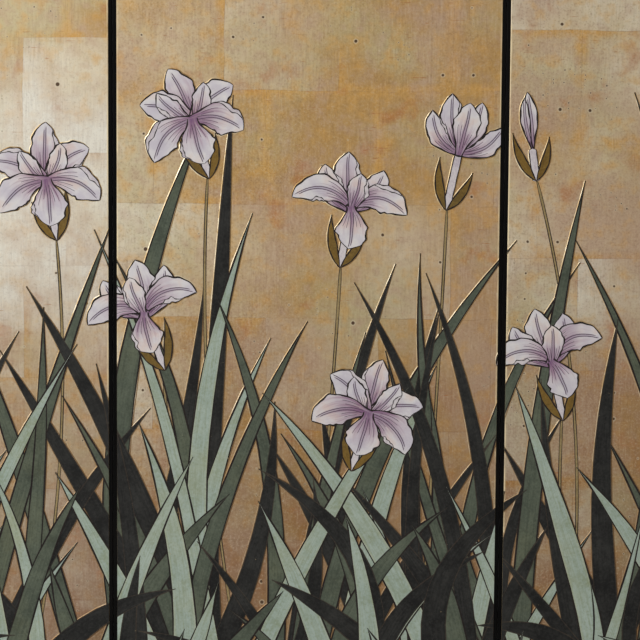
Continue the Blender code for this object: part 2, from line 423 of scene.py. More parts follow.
        # Real leaf has grain and streaks of a few tenths of a millimetre, which are drawn coarser to show.
        grain = g.add("TexNoise", {"Vector": spot, "Scale": pitch(2.2), "Detail": 5.0, "Roughness": 0.65})
        upright = g.add("Mapping", {"Vector": spot, "Scale": (pitch(1.7), pitch(19), 1.0)})
        streak = g.add("TexNoise", {"Vector": upright, "Scale": 1.0, "Detail": 3.0})
        sidelong = g.add("Mapping", {"Vector": uneven, "Scale": (pitch(17), pitch(1.6), 1.0)})
        scuff = g.add("TexNoise", {"Vector": sidelong, "Scale": 1.0, "Detail": 2.0})

        # The bloom comes in clouds and on some squares, and painted sheen adds to it at the left edge and at
        # mid height.
        silver_and_sheen = cloud
        even = 0.7 * self.silver_and_sheen
        for more in (
            [(side, 0.02, -0.2, -0.04, 0.16)],
            [(lot, 0.0, 1.0, even + self.tint, even - self.tint)],
            [(up, 0.58, 0.68, 0.0, 1.3 * self.silver_and_sheen), (up, 0.9, 0.74)],
        ):
            silver_and_sheen = g.add("Math", {0: silver_and_sheen, 1: g.share(*more)}, operation="ADD")

        rubbed = (patch, 0.4, 0.58, 0.35, 1.0)
        # Painted sheen: the grain shows stronger towards the left edge.
        sheen_grain = (side, 0.04, -0.14, 0.9, 1.4)
        colour = g.coat(
            self.gold,
            (self.pale, (silver_and_sheen, 0.43, 0.72)),
            (self.amber, (lap, 0.1, 0.9), (patch, 0.44, 0.56), (lot, 0.3, 0.6, 0.05, 0.9)),
            (self.green, (greener, 0.5, 0.66, 0.0, 0.7)),
            (self.rosy, (redder, 0.5, 0.66, 0.0, 0.7)),
            (self.rosy, (patch, 0.54, 0.68, 0.0, 0.5)),
            (self.rosy, (side, 0.06, 0.2, 0.0, 0.6), (cloud, 0.42, 0.6)),
            (self.amber, (mottle, 0.52, 0.7, 0.0, 0.5)),
            (self.rosy, (mottle, 0.48, 0.3, 0.0, 0.5)),
            # The brightest bloom: partly the leaf's own tone, partly painted sheen.
            (self.bright, (silver_and_sheen, 0.68, 0.88, 0.0, 0.85), (patch, 0.36, 0.54, 0.3, 1.0)),
            (self.brown, (joint, 0.0, 1.0), (cloud, 0.42, 0.58, 0.05, 0.4)),
            # Towards the foot the leaf is painted darker, rusty and then brown.
            (self.rust, (up, 0.6, 0.34), (patch, 0.42, 0.6, 0.05, 0.55)),
            (self.brown, (up, 0.68, 0.24), (cloud, 0.36, 0.64, 0.85, 0.55)),
            # Wear goes over everything: streaks, stains, scuffs and grain.
            (self.brown, (streak, 0.44, 0.7, 0.0, 0.18), rubbed),
            (self.pale, (streak, 0.44, 0.24, 0.0, 0.18), rubbed),
            (self.stain, (blotch, 0.62, 0.74, 0.0, 0.6)),
            (self.rust, (scuff, 0.69, 0.73, 0.0, 0.65), (patch, 0.5, 0.56)),
            # Grain, painted stronger towards the left, where it stands in for sheen.
            (self.pale, (grain, 0.52, 0.72, 0.0, 0.3), sheen_grain),
            (self.brown, (grain, 0.48, 0.3, 0.0, 0.3), sheen_grain),
        )
        colour = self.pierce(g, colour, uneven, (hue, 0.55, 0.6))
        # A pale painted highlight along both side edges of the front.
        aside = g.add("Math", {0: side}, operation="ABSOLUTE")
        rim = (aside, front.half - self.rim, front.half - self.rim / 2, 0.0, 0.75)
        colour = g.coat(colour, (self.edge, rim, (patch, 0.4, 0.54, 0.15, 1.0)))

        height = g.add("Math", {0: streak, 1: 0.5, 2: grain}, operation="MULTIPLY_ADD")
        bump = g.add("Bump", {"Strength": 0.4, "Distance": self.relief, "Height": height})
        rough = g.share((grain, 0.3, 0.7, *self.rough))
        return g.dress({"Base Color": colour, "Metallic": self.metallic, "Roughness": rough, "Normal": bump})


@dataclass(frozen=True)
class GlintedLip:
    """Gold leaf along the raised lip of the cutting, with pale flecks of painted glint."""

    name: str = "lit_lip"
    # The gold flecks are painted glints over the lip's leaf, which is painted lit or in shade.
    gold: str = "#ECE0C2"
    dull: str = "#BEA273"
    brown: str = "#7E5E3E"
    metallic: float = 0.7
    rough: Pair = (0.32, 0.5)

    def build(self) -> Material:
        """Makes the lip's leaf.

        Returns:
            The material.
        """
        g = Graph(self.name)
        place = g.add("TexCoord", {}, "Object")
        up = g.add("SeparateXYZ", {0: place}, "Z")
        rub = g.add("TexNoise", {"Vector": place, "Scale": pitch(36), "Detail": 6.0, "Roughness": 0.6})
        fleck = g.add("TexNoise", {"Vector": place, "Scale": pitch(9), "Detail": 3.0})
        colour = g.coat(
            self.dull,
            (self.gold, (fleck, 0.42, 0.56), (rub, 0.42, 0.56, 1.0, 0.35)),
            (self.brown, (up, 0.75, 0.35, 0.0, 0.8)),
        )
        rough = g.share((rub, 0.3, 0.7, *self.rough))
        return g.dress({"Base Color": colour, "Metallic": self.metallic, "Roughness": rough})


@dataclass(frozen=True)
class Brush:
    """The marks of a brush along each form: the usual width of a form and that of a hair's line, in mm."""

    form: float
    hair: float
    detail: float

    def draw(self, g: Graph) -> tuple[Socket, Socket, Socket]:
        """Adds the marks.

        Args:
            g: The material's nodes.

        Returns:
            The numbers that a form carries, how far from its middle a place is, and the lines of the hairs.
        """
        drawn = g.add("Attribute", {}, "Vector", attribute_name="drawn")
        across = g.add("Math", {0: g.add("SeparateXYZ", {0: drawn}, "X")}, operation="ABSOLUTE")
        # Hairs leave lines far below a millimetre on the real paint, and they are drawn coarser to show.
        drag = (self.form / 2 / self.hair, 1 / HAIR_RUN, SEEDS_APART)
        dragged = g.add("Mapping", {"Vector": drawn, "Scale": drag})
        hairs = g.add("TexNoise", {"Vector": dragged, "Scale": 1.0, "Detail": self.detail})
        return drawn, across, hairs


@dataclass(frozen=True)
class Pigment:
    """Mineral pigment in lacquer, brushed into the cut ground along each form.

    It dries matt, with the hairs of the brush left as fine lines along the stroke, cloudy changes of
    strength, yellowed stains and small chips that show the pale ground. Along the ink runs a margin of
    painted shade, or of painted highlight where a margin colour is given.
    """

    name: str
    fill: str
    shade: str
    light: str
    cloud: float = 0.55
    streaked: float = 0.4
    stained: float = 0.0
    stain: str = "#8F8D62"
    # Colour of the painted highlight along the ink; without it the margin is painted shade
    margin: str = ""
    chip: str = "#9C8B6C"
    brush: Brush = Brush(22.0, 1.8, 4.0)
    gloss: float = 0.13
    rough: Pair = (0.55, 0.72)
    relief: float = 0.2 * MM

    def build(self) -> Material:
        """Makes the paint.

        Returns:
            The material.
        """
        g = Graph(self.name)
        _, across, hairs = self.brush.draw(g)
        place = g.add("TexCoord", {}, "Object")
        clouds = g.add("TexNoise", {"Vector": place, "Scale": pitch(42), "Detail": 7.0, "Roughness": 0.7})
        stains = g.add("TexNoise", {"Vector": place, "Scale": pitch(75), "Detail": 6.0, "Roughness": 0.6})
        chips = g.add("TexNoise", {"Vector": place, "Scale": pitch(6), "Detail": 4.0, "Roughness": 0.7})
        # Grit is far below a millimetre in the real paint, and is drawn coarser to show.
        grit = g.add("TexNoise", {"Vector": place, "Scale": pitch(2.4), "Detail": 3.0, "Roughness": 0.6})
        colour = g.coat(
            self.fill,
            (self.light, (clouds, 0.42, 0.64, 0.0, self.cloud)),
            (self.shade, (clouds, 0.46, 0.32, 0.0, self.cloud)),
            (self.stain, (stains, 0.5, 0.68, 0.0, self.stained)),
            (self.shade, (hairs, 0.42, 0.72, 0.0, self.streaked)),
            # Painted shade along the ink, or a painted highlight where a margin colour is given
            (self.margin or self.shade, (across, 0.66, 0.94, 0.0, 0.5)),
            (self.light, (grit, 0.52, 0.72, 0.0, 0.5)),
            (self.shade, (grit, 0.46, 0.3, 0.0, 0.5)),
            (self.chip, (chips, 0.71, 0.74, 0.0, 0.7)),
        )
        height = g.add("Math", {0: hairs, 1: grit}, operation="ADD")
        bump = g.add("Bump", {"Strength": 0.25, "Distance": self.relief, "Height": height})
        rough = g.share((clouds, 0.3, 0.7, *self.rough))
        shading = {"Roughness": rough, "Specular IOR Level": self.gloss, "Normal": bump}
        return g.dress({"Base Color": colour, **shading})


@dataclass(frozen=True)
class PetalWash:
    """Shell white and lilac in lacquer, washed from a dark throat through rose to a pale margin.

    The wash reaches further on some petals than on others, and leaves the streaks of a soft brush.
    """

    name: str = "petal_wash"
    margin: str = "#C6C3C3"
    lilac: str = "#B2ACB6"
    throat: str = "#644367"
    rose: str = "#A2717F"
    rib: str = "#8B8494"
    warm: str = "#C6B6AF"
    brush: Brush = Brush(30.0, 2.1, 3.0)
    gloss: float = 0.25
    rough: float = 0.6

    def build(self) -> Material:
        """Makes the wash.

        Returns:
            The material.
        """
        g = Graph(self.name)
        drawn, across, hairs = self.brush.draw(g)
        along = g.add("Attribute", {}, "Alpha", attribute_name="drawn")
        seed = g.add("SeparateXYZ", {0: drawn}, "Z")
        place = g.add("TexCoord", {}, "Object")
        clouds = g.add("TexNoise", {"Vector": place, "Scale": pitch(22), "Detail": 5.0})
        wash = g.share((seed, 0.0, 1.0, 0.3, 0.72))
        flush = g.share((seed, 0.0, 1.0, 0.55, 1.0))
        colour = g.coat(
            self.margin,
            (self.lilac, (clouds, 0.44, 0.64, 0.0, 0.85)),
            (self.warm, (clouds, 0.46, 0.36, 0.0, 0.8)),
            (self.throat, (across, 0.55, 0.0, 0.0, 0.22), (along, 0.95, 0.3)),
            (self.rib, (across, 0.17, 0.07, 0.0, 0.6), (along, 0.97, 0.8)),
            (self.rose, (along, flush, 0.1, 0.0, 0.7), (hairs, 0.36, 0.6, 0.3, 1.0)),
            (self.throat, (along, wash, 0.04, 0.0, 0.9), (hairs, 0.3, 0.55, 0.55, 1.0)),
            (self.throat, (hairs, 0.5, 0.66, 0.0, 0.45), (along, 0.8, 0.25)),
        )
        return g.dress({"Base Color": colour, "Roughness": self.rough, "Specular IOR Level": self.gloss})


@dataclass(frozen=True)
class Lacquer:
    """Lamp-black lacquer in many coats, rubbed smooth: nearly black, with a soft sheen and a little dust."""

    name: str
    black: str = "#030303"
    dust: str = "#0C0B0A"
    rough: Pair = (0.34, 0.5)
    gloss: float = 0.05
    relief: float = 0.1 * MM

    def build(self) -> Material:
        """Makes the lacquer.

        Returns:
            The material.
        """
        g = Graph(self.name)
        place = g.add("TexCoord", {}, "Object")
        haze = g.add("TexNoise", {"Vector": place, "Scale": pitch(110), "Detail": 7.0, "Roughness": 0.6})
        # The marks of the rubbing and the dust are finer on the real lacquer, and are drawn coarser to show.
        upright = g.add("Mapping", {"Vector": place, "Scale": (pitch(2.4), pitch(2.4), pitch(140))})
        rubbing = g.add("TexNoise", {"Vector": upright, "Scale": 1.0, "Detail": 4.0, "Roughness": 0.6})
        grains = g.add("TexNoise", {"Vector": place, "Scale": pitch(1.9), "Detail": 2.0})
        colour = g.coat(self.black, (self.dust, (haze, 0.4, 0.75)), (self.dust, (grains, 0.6, 0.72)))
        rubbed = g.share((rubbing, 0, 1, 0, 0.55))
        blend = g.add("Math", {0: haze, 1: 0.45, 2: rubbed}, operation="MULTIPLY_ADD")
        rough = g.share((blend, 0.35, 0.65, *self.rough))
        bump = g.add("Bump", {"Strength": 0.12, "Distance": self.relief, "Height": rubbing})
        shading = {"Roughness": rough, "Specular IOR Level": self.gloss, "Normal": bump}
        return g.dress({"Base Color": colour, **shading})


@dataclass(frozen=True)
class Cedar:
    """Cedar board, planed: straight grain in warm browns."""

    name: str = "planed_cedar"
    early: str = "#A9794F"
    late: str = "#7A4E30"
    rough: float = 0.6

    def build(self) -> Material:
        """Makes the wood.

        Returns:
            The material.
        """
        g = Graph(self.name)
        place = g.add("TexCoord", {}, "Object")
        grain = g.add("Mapping", {"Vector": place, "Scale": (pitch(6), pitch(6), pitch(250))})
        rings = g.add("TexNoise", {"Vector": grain, "Scale": 1.0, "Detail": 5.0})
        colour = g.coat(self.early, (self.late, (rings, 0.4, 0.62)))
        return g.dress({"Base Color": colour, "Roughness": self.rough})


@dataclass(frozen=True)
class Brass:
    """Sheet brass, tarnished brown in its corners and rubbed bright where hands fold the screen."""

    name: str = "tarnished_brass"
    bright: str = "#B08D4E"
    brown: str = "#5E4526"
    metallic: float = 1.0
    rough: Pair = (0.28, 0.55)

    def build(self) -> Material:
        """Makes the brass.

        Returns:
            The material.
        """
        g = Graph(self.name)
        place = g.add("TexCoord", {}, "Object")
        rub = g.add("TexNoise", {"Vector": place, "Scale": pitch(8), "Detail": 6.0, "Roughness": 0.6})
        colour = g.coat(self.bright, (self.brown, (rub, 0.42, 0.68)))
        rough = g.share((rub, 0.35, 0.7, *self.rough))
        return g.dress({"Base Color": colour, "Metallic": self.metallic, "Roughness": rough})


PAINTS = {
    # Lamp black: a dark, dusty slate that its cloudiness keeps apart from the frames
    Tone.CHARCOAL: Pigment("charcoal_pigment", "#1D1D1C", "#121212", "#333331", 0.8, 0.6),
    # Green earth with black: dull and deep, with few stains
    Tone.MOSS: Pigment("moss_pigment", "#464D42", "#373C33", "#5A6153", 0.75, 0.55, 0.12),
    # Green earth with white: chalky and yellowed in patches, with a pale painted highlight along the outline
    Tone.SAGE: Pigment("sage_pigment", "#8B9990", "#788268", "#9AA69C", 0.8, 0.6, 0.4, margin="#A3A385"),
    Tone.PETAL: PetalWash(),
    # Shell white alone: the pale undersides of petals and their tubes
    Tone.TUBE: Pigment("shell_white", "#BDB7B9", "#958895", "#C8C3C3"),
    # Ochre with black: warm, with dark stains
    Tone.BRACT: Pigment("olive_pigment", "#6A5224", "#503C17", "#7D6432", stained=0.8, stain="#54492B"),
    # Ochre with white: a thin line, a little darker than the leaf
    Tone.STEM: Pigment("stem_pigment", "#857450", "#5F5138", "#988660"),
    # Ink with plum: softer than the outlines
    Tone.VEIN: Pigment("plum_line", "#4F3D4F", "#3A2D39", "#5F4C5E"),
}

# Warm black ink, for outlines
INK = Pigment("ink_line", "#221D1C", "#171312", "#342C29")

# Black on black would hide the drawing, so there the outlines are left as rubbed, brownish cuts.
RUBBED_CUT = Pigment("rubbed_cut", "#38322C", "#241F1B", "#50473C")

# The lip on the left of a form is painted lit, and that on its right painted in shade, near the leaf's tone.
LIPS = (GlintedLip(), GlintedLip("shaded_lip", "#A98A58", "#97784A", "#6F5236"))

# The backs are glossier than the frames and hold more dust, so that they look grey beside them.
BACK_LACQUER = Lacquer("back_lacquer", dust="#24201D", rough=(0.2, 0.36), gloss=0.4)


@dataclass(frozen=True)
class Course:
    """The stations of a stroke, from its foot to its tip, in millimetres of the unfolded fronts."""

    share: np.ndarray  # how far along, from 0 to 1
    centre: np.ndarray
    side: np.ndarray  # sideways directions
    half: np.ndarray  # half widths
    seed: float


class Sheet:
    """Vertices and faces of many closed strokes, gathered for one mesh."""

    def __init__(self) -> None:
        """Starts with nothing drawn."""
        self.points: list[Triple] = []
        self.faces: list[tuple[int, ...]] = []
        self.slots: list[int] = []
        self.drawn: list[tuple[float, float, float, float]] = []

    def sweep(self, course: Course, lanes: tuple, slots: list[int]) -> None:
        """Adds a closed tube along a stroke.

        Args:
            course: The stroke's stations.
            lanes: For each lane of the cross-section, how far sideways and how far proud it runs.
            slots: The material slot of each lane.
        """
        steps = np.linalg.norm(np.diff(course.centre, axis=0), axis=1)
        run = np.concatenate(((0,), np.cumsum(steps)))
        rings = np.zeros((len(run), len(lanes), 3))
        drawn = np.zeros((len(run), len(lanes), 4))
        for j, (reach, proud) in enumerate(lanes):
            rings[:, j, :2] = course.centre + course.side * reach[:, None]
            rings[:, j, 2] = proud
            drawn[:, j, 0] = reach / course.half
            drawn[:, j, 1] = run
            drawn[:, j, 2] = course.seed
            drawn[:, j, 3] = course.share
        self.tube(rings, drawn, slots)

    def tube(self, rings: np.ndarray, drawn: np.ndarray, slots: list[int]) -> None:
        """Adds a closed tube through rings of points, with flat ends.

        Args:
            rings: Stations by lanes by (sideways, up, proud) in millimetres.
            drawn: Stations by lanes by four numbers for the shader.
            slots: The material slot of each lane's faces. The ends take the first.
        """
        first = len(self.points)
        stations, lanes = rings.shape[:2]
        self.points.extend(map(tuple, rings.reshape(-1, 3)))
        self.drawn.extend(map(tuple, drawn.reshape(-1, 4)))
        for i in range(stations - 1):
            row = first + i * lanes
            for j in range(lanes):
                k = (j + 1) % lanes
                self.faces.append((row + j, row + k, row + lanes + k, row + lanes + j))
                self.slots.append(slots[j])
        last = first + (stations - 1) * lanes
        self.faces.append(tuple(first + j for j in reversed(range(lanes))))
        self.faces.append(tuple(last + j for j in range(lanes)))
        self.slots.extend((slots[0], slots[0]))


@dataclass
class Stroke:
    """One drawn form of the picture, on a bent centre line, in millimetres of the unfolded fronts."""

    tone: Tone
    outline: Outline
    foot: Pair  # from the middle of panel 2 and the floor
    tip: Pair
    width: float
    bow: float = 0.0  # bend aside, as a share of the length
    sway: float = 0.0  # the same for an S-shaped bend
    ruffle: float = 0.0  # waves of the edges, as a share of the width
    seed: float = 0.0  # sets the waves and the brush marks
    stations: int = 26
    shift: float = 0.0  # aside from the centre line
    span: Pair = (0.0, 1.0)  # the part of the centre line that it covers
    fan: float = 0.0  # aside from the centre line, as a share of the host's half width
    hem: int = 0  # the edge of the host that it follows, -1 or 1
    level: int = 0
    host: "Stroke | None" = None  # the petal that it is drawn on

    @property
    def lift(self) -> float:
        """How far a line or a turned margin stands above the petal that it lies on.

        Returns:
            The lift in millimetres, which is 0 for a stroke of its own.
        """
        if self.host is None:
            return 0.0
        return LINE_LIFT if self.tone is Tone.VEIN else FOLD_LIFT

    def spine(self, share: np.ndarray) -> np.ndarray:
        """Points of the centre line.

        Args:
            share: How far along, from 0 to 1.

        Returns:
            The points, one row each.
        """
        foot = np.array(self.foot)
        chord = np.array(self.tip) - foot
        across = np.array((chord[1], -chord[0]))
        bend = self.bow * 4 * share * (1 - share) + self.sway * np.sin(2 * math.pi * share)
        return foot + np.outer(share, chord) + np.outer(bend, across)

    def half_width(self, share: np.ndarray) -> np.ndarray:
        """Half the width along the stroke.

        Args:
            share: How far along, from 0 to 1.

        Returns:
            Half widths in millimetres.
        """
        half = self.width / 2
        if self.outline is Outline.BLADE:
            # Round at the foot, widest before the middle, and drawn out to a point
            swell = 0.74 + 0.26 * np.sin(np.minimum(share / 0.42, 1.0) * math.pi / 2)
            rounding = half / math.dist(self.foot, self.tip)
            foot = np.sqrt(1 - (1 - np.minimum(share / rounding, 1.0)) ** 2)
            shape = swell * foot * (1 - share**4)
        elif self.outline is Outline.TEPAL:
            # A narrow claw that opens out past the middle, and a blunt tip
            open_out = np.clip(share / 0.58, 0, 1)
            swell = 0.3 + 0.7 * open_out * open_out * (3 - 2 * open_out)
            close = np.clip((share - 0.55) / 0.45, 0, 1)
            shape = swell * np.maximum(1 - close**2.3, 0) ** 0.82
        elif self.outline is Outline.LEAFLET:
            # Pointed at both ends, and fuller towards the foot
            shape = np.sin(math.pi * np.clip(share, 0, 1) ** 0.8)
        else:
            # Even, with short round ends
            shape = np.ones_like(share) * np.minimum(np.minimum(share, 1 - share) / 0.04, 1.0) ** 0.5
        return np.maximum(half * shape, min(THINNEST, 0.3 * half))

    @staticmethod
    def frill(share: np.ndarray) -> np.ndarray:
        """How much of the ruffle shows along a stroke: none of it at the foot."""
        return np.clip(share * 3 - 0.7, 0, 1)

    def margin(self, share: np.ndarray, sign: int) -> np.ndarray:
        """How a ruffled edge departs from the plain outline.

        Args:
            share: How far along, from 0 to 1.
            sign: Which side.

        Returns:
            Factors near one.
        """
        if self.outline is Outline.LINE:
            return np.ones_like(share)
        phase = self.seed * 40 + sign * 1.7
        wave = sum(height * np.sin(share * pace + turn * phase) for height, pace, turn in RUFFLE_WAVES)
        return 1 + self.ruffle * wave * self.frill(share)

    def trace(self, stations: int) -> Course:
        """Follows the stroke from foot to tip.

        Args:
            stations: How many points to take, closer together at both ends.

        Returns:
            The stations.
        """
        even = np.linspace(0, 1, stations)
        # Crowded towards both ends, where the outline turns fastest
        share = even - 0.9 * np.sin(2 * math.pi * even) / (2 * math.pi)
        half = self.half_width(share)
        run = self.span[0] + share * (self.span[1] - self.span[0])
        centre = self.spine(run)
        slope = np.gradient(centre, axis=0)
        slope /= np.linalg.norm(slope, axis=1)[:, None]
        side = np.stack((slope[:, 1], -slope[:, 0]), axis=1)
        ripple = self.ruffle * RUFFLE_DRIFT * np.sin(run * 9 + self.seed * 25) * self.frill(run)
        offset = ripple + self.shift * (1 - 0.45 * run)
        if self.host is not None:
            offset = offset + self.fan * self.host.half_width(run)
        if self.hem:
            edge = self.host.half_width(run) * self.host.margin(run, self.hem)
            offset = offset + self.hem * (edge - half)
        return Course(share, centre + side * offset[:, None], side, half, self.seed)

    def lay(self, sheet: Sheet, step: float) -> None:
        """Adds the stroke as a closed low solid: ink walls and rim, and a level fill.

        Args:
            sheet: Where to.
            step: Height of one level, in millimetres.
        """
        course = self.trace(self.stations)
        base = PAINT_BASE + step * self.level + self.lift
        left = course.half * self.margin(course.share, -1)
        right = course.half * self.margin(course.share, 1)
        if self.tone is Tone.VEIN:
            lanes = ((-left, -GROUND_SINK), (-left, base), (right, base), (right, -GROUND_SINK))
            sheet.sweep(course, lanes, [FILL] * len(lanes))
            return
        swell = 1 + INK_SWELL * np.sin(course.share * 21 + self.seed * 50)
        ink = np.minimum(INK_WIDTH[self.tone] * swell, 0.9 * course.half)
        lanes = (
            (-left, -GROUND_SINK),
            (-left, base),
            (ink - left, base),
            (right - ink, base),
            (right, base),
            (right, -GROUND_SINK),
        )
        sheet.sweep(course, lanes, [INKED, INKED, FILL, INKED, INKED, INKED])

    def lay_lips(self, sheet: Sheet) -> None:
        """Adds the gilded lips beside the stroke, low enough to be hidden under any paint.

        Args:
            sheet: Where to.
        """
        course = self.trace(2 * self.stations // 3)
        lip = LIP_WIDTH * np.clip(course.half / LIP_WHOLE, 0.6, 1.0)
        for sign in (-1, 1):
            edge = course.half * self.margin(course.share, sign)
            lanes = (
                (sign * edge, -GROUND_SINK),
                (sign * (edge + 0.25 * lip), LIP_HEIGHT),
                (sign * (edge + lip), -GROUND_SINK),
            )
            # A lip facing right takes the copy painted in shade, and one facing left the copy painted lit.
            dull = int(sign * course.side[:, 0].mean() > 0.0)
            sheet.sweep(course, lanes, [dull] * len(lanes))

    def footprint(self) -> tuple[np.ndarray, np.ndarray]:
        """Circles that cover the stroke, to see what it lies over.

        Returns:
            Their centres and radii.
        """
        share = np.linspace(0.0, 1.0, 40)
        centres = self.spine(share)
        gap = np.linalg.norm(np.diff(centres, axis=0), axis=1).max() / 2
        # Ruffles reach past the plain outline, and a millimetre is added to be safe.
        widest = self.half_width(share) * (1 + 1.5 * self.ruffle) + 1.0 + RUFFLE_DRIFT * self.ruffle
        return centres, np.hypot(widest, gap)


@dataclass(frozen=True)
class Tepal:
    """One petal of a flower, in degrees from the upright and in millimetres from the throat outwards."""

    angle: float
    length: float
    width: float
    bow: float
    start: float = -3.0


# Petals of each view, rearmost first
FLOWER_FORMS = {
    View.OPEN: (
        Tepal(-4, 60, 30, 0.03),
        Tepal(-64, 58, 33, 0.1),
        Tepal(62, 59, 33, -0.1),
        Tepal(-34, 45, 21, -0.08),
        Tepal(32, 44, 21, 0.08),
        Tepal(-116, 57, 33, 0.17),
        Tepal(116, 56, 34, -0.16),
        Tepal(178, 45, 38, 0.03),
    ),
    View.SIDE: (
        Tepal(-8, 60, 30, -0.04),
        Tepal(-38, 55, 27, -0.13),
        Tepal(28, 56, 28, 0.12),
        Tepal(-84, 60, 29, 0.24),
        Tepal(80, 60, 30, -0.24),
        Tepal(8, 41, 24, 0.04),
        Tepal(170, 42, 34, -0.06),
    ),
    View.CUP: (
        Tepal(-16, 62, 25, -0.05),
        Tepal(18, 60, 25, 0.06),
        Tepal(-44, 54, 22, -0.16),
        Tepal(46, 54, 22, 0.16),
        Tepal(2, 52, 29, 0.02),
    ),
    View.BUD: (
        Tepal(-3, 58, 15, 0.03, 0.0),
        Tepal(4, 52, 11, -0.05, 0.0),
    ),
}


@dataclass(frozen=True)
class Flower:
    """A flower with its tube, bracts and stem, in millimetres of the unfolded fronts and in degrees."""

    view: View
    x: float  # of the throat, from the middle of panel 2
    z: float  # of the throat, from the floor
    root: Pair  # where the stem starts
    turn: float
    mirrored: bool = False
    stem: float = 3.4
    tube: float = 8.5
    bracts: tuple[Triple, ...] = ((-19, 56, 10), (23, 48, 9.5))  # angle, length and width of each
    folded: float = 0.6  # share of petals with a turned margin
    ribs: float = 1.6  # from a petal's middle to each of its two midribs
    fans: tuple[float, ...] = (-0.58, -0.32, 0.34, 0.6)  # fine veins, as shares of a petal's half width

    def away(self, angle: float, reach: float, origin: Pair) -> Pair:
        """A point at an angle from another, as the flower leans.

        Args:
            angle: Degrees clockwise from the flower's own up.
            reach: How far, in millimetres.
            origin: The point to start from.

        Returns:
            The point.
        """
        lean = math.radians((-angle if self.mirrored else angle) + self.turn)
        return (origin[0] + reach * math.sin(lean), origin[1] + reach * math.cos(lean))

    def stalk(self, rng: random.Random) -> list[Stroke]:
        """The stem, the tube and the two bracts, behind the flower.

        Args:
            rng: The source of small differences.

        Returns:
            The strokes, rearmost first.
        """
        centre = (self.x, self.z)
        neck = 34 if self.view is View.BUD else 62
        knee = self.away(180, neck, centre)
        # The stem ends a little above the knee, hidden by the bracts.
        socket = self.away(0, 6, knee)
        bend = rng.uniform(-0.05, 0.05)
        stem = Stroke(Tone.STEM, Outline.LINE, self.root, socket, self.stem, bend, stations=30)
        tube = Stroke(Tone.TUBE, Outline.LINE, knee, centre, self.tube, stations=14)
        strokes = [stem, tube]
        for angle, length, width in self.bracts:
            tip = self.away(angle, length, knee)
            bow = -0.07 if (angle < 0) != self.mirrored else 0.07
            strokes.append(Stroke(Tone.BRACT, Outline.LEAFLET, knee, tip, width, bow, stations=20))
        for stroke in strokes:
            stroke.seed = rng.random()
        return strokes

    def petal(self, tepal: Tepal, rng: random.Random) -> Stroke:
        """One petal.

        Args:
            tepal: Its form.
            rng: The source of small differences.

        Returns:
            The stroke.
        """
        centre = (self.x, self.z)
        angle = tepal.angle + rng.uniform(-6, 6)
        foot = self.away(angle, tepal.start, centre)
        tip = self.away(angle, tepal.length * rng.uniform(0.94, 1.06), centre)
        bow = -tepal.bow if self.mirrored else tepal.bow
        petal = Stroke(Tone.PETAL, Outline.TEPAL, foot, tip, tepal.width, bow, stations=60)
        petal.seed = rng.random()
        petal.ruffle = 0.015 if self.view is View.BUD else 0.06
        return petal

    def turned_margin(self, petal: Stroke, rng: random.Random) -> Stroke:
        """A margin that is turned over, so that the petal's underside shows.

        Args:
            petal: The petal.
            rng: The source of small differences.

        Returns:
            The stroke.
        """
        return replace(
            petal,
            tone=Tone.TUBE,
            outline=Outline.LEAFLET,
            width=rng.uniform(3.5, 6.5),
            hem=rng.choice((-1, 1)),
            span=(rng.uniform(0.34, 0.5), rng.uniform(0.82, 0.95)),
            stations=34,
            host=petal,
        )

    def lines(self, petal: Stroke, rng: random.Random) -> list[Stroke]:
        """The double midrib of a petal and, unless it is a bud's, the fine veins beside it.

        Args:
            petal: The petal.
            rng: The source of small differences.

        Returns:
            The strokes.
        """
        line = replace(petal, tone=Tone.VEIN, outline=Outline.LINE, width=0.8, host=petal)
        reach = rng.uniform(0.9, 0.97)
        strokes = [
            replace(line, shift=-self.ribs, span=(0.12, reach - 0.05), stations=20),
            replace(line, shift=self.ribs, span=(0.12, reach), stations=20),
        ]
        if self.view is not View.BUD:
            for fan in self.fans:
                span = (0.2, rng.uniform(0.4, 0.58))
                strokes.append(replace(line, width=0.5, fan=fan, span=span, stations=10))
        return strokes

    def head(self, rng: random.Random) -> list[Stroke]:
        """The petals with what is drawn on them.

        Args:
            rng: The source of small differences.

        Returns:
            The strokes, rearmost first.
        """
        strokes = []
        for tepal in FLOWER_FORMS[self.view]:
            petal = self.petal(tepal, rng)
            strokes.append(petal)
            if self.view is not View.BUD and rng.random() < self.folded:
                strokes.append(self.turned_margin(petal, rng))
            strokes.extend(self.lines(petal, rng))
        return strokes


@dataclass(frozen=True)
class Clump:
    """Strap blades that rise from one root, in millimetres of the unfolded fronts."""

    x: float  # of the root, from the middle of panel 2
    z: float  # of the root, from the floor
    count: int
    spread: float  # lean of the outer blades, in degrees
    tallest: float
    nearer: float = 0.0  # how far it stands in front of other clumps
    bend: float = 0.11  # the most that a blade bows, as a share of its length
    base: float = 58.0  # half width of the root

    def blades(self, rng: random.Random) -> list[tuple[float, Stroke]]:
        """The blades, each with its depth.

        Args:
            rng: The source of their differences.

        Returns:
            Depth, where larger is nearer, and stroke.
        """
        found = []
        for i in range(self.count):
            across = 2 * (i + 0.5) / self.count - 1
            lean = math.radians(self.spread * across + rng.uniform(-5, 5))
            length = self.tallest * (1 - 0.3 * abs(across)) * rng.uniform(0.6, 1.0)
            tone = BLADE_TONES[i % len(BLADE_TONES)] if rng.random() < 0.8 else rng.choice(BLADE_TONES)
            length *= TONE_REACH[tone]
            foot_x = self.x + self.base * across + rng.uniform(-8, 8)
            foot_z = self.z + rng.uniform(-30, 30) + 26 * abs(across)
            tip = (foot_x + length * math.sin(lean), foot_z + length * math.cos(lean))
            # Pale blades and short ones tend to stand in front.
            depth = self.nearer + rng.random() + (0.25 if tone is Tone.SAGE else 0.0) - length / 1200
            # Most blades bow back towards the upright.
            bow = math.copysign(rng.uniform(0.01, self.bend), lean) * (-1 if rng.random() < 0.85 else 1)
            width = rng.uniform(16, 29)
            sway = rng.uniform(-0.012, 0.012)
            seed = rng.random()
            foot = (foot_x, foot_z)
            blade = Stroke(tone, Outline.BLADE, foot, tip, width, bow, sway, seed=seed, stations=30)
            found.append((depth, blade))
        return found


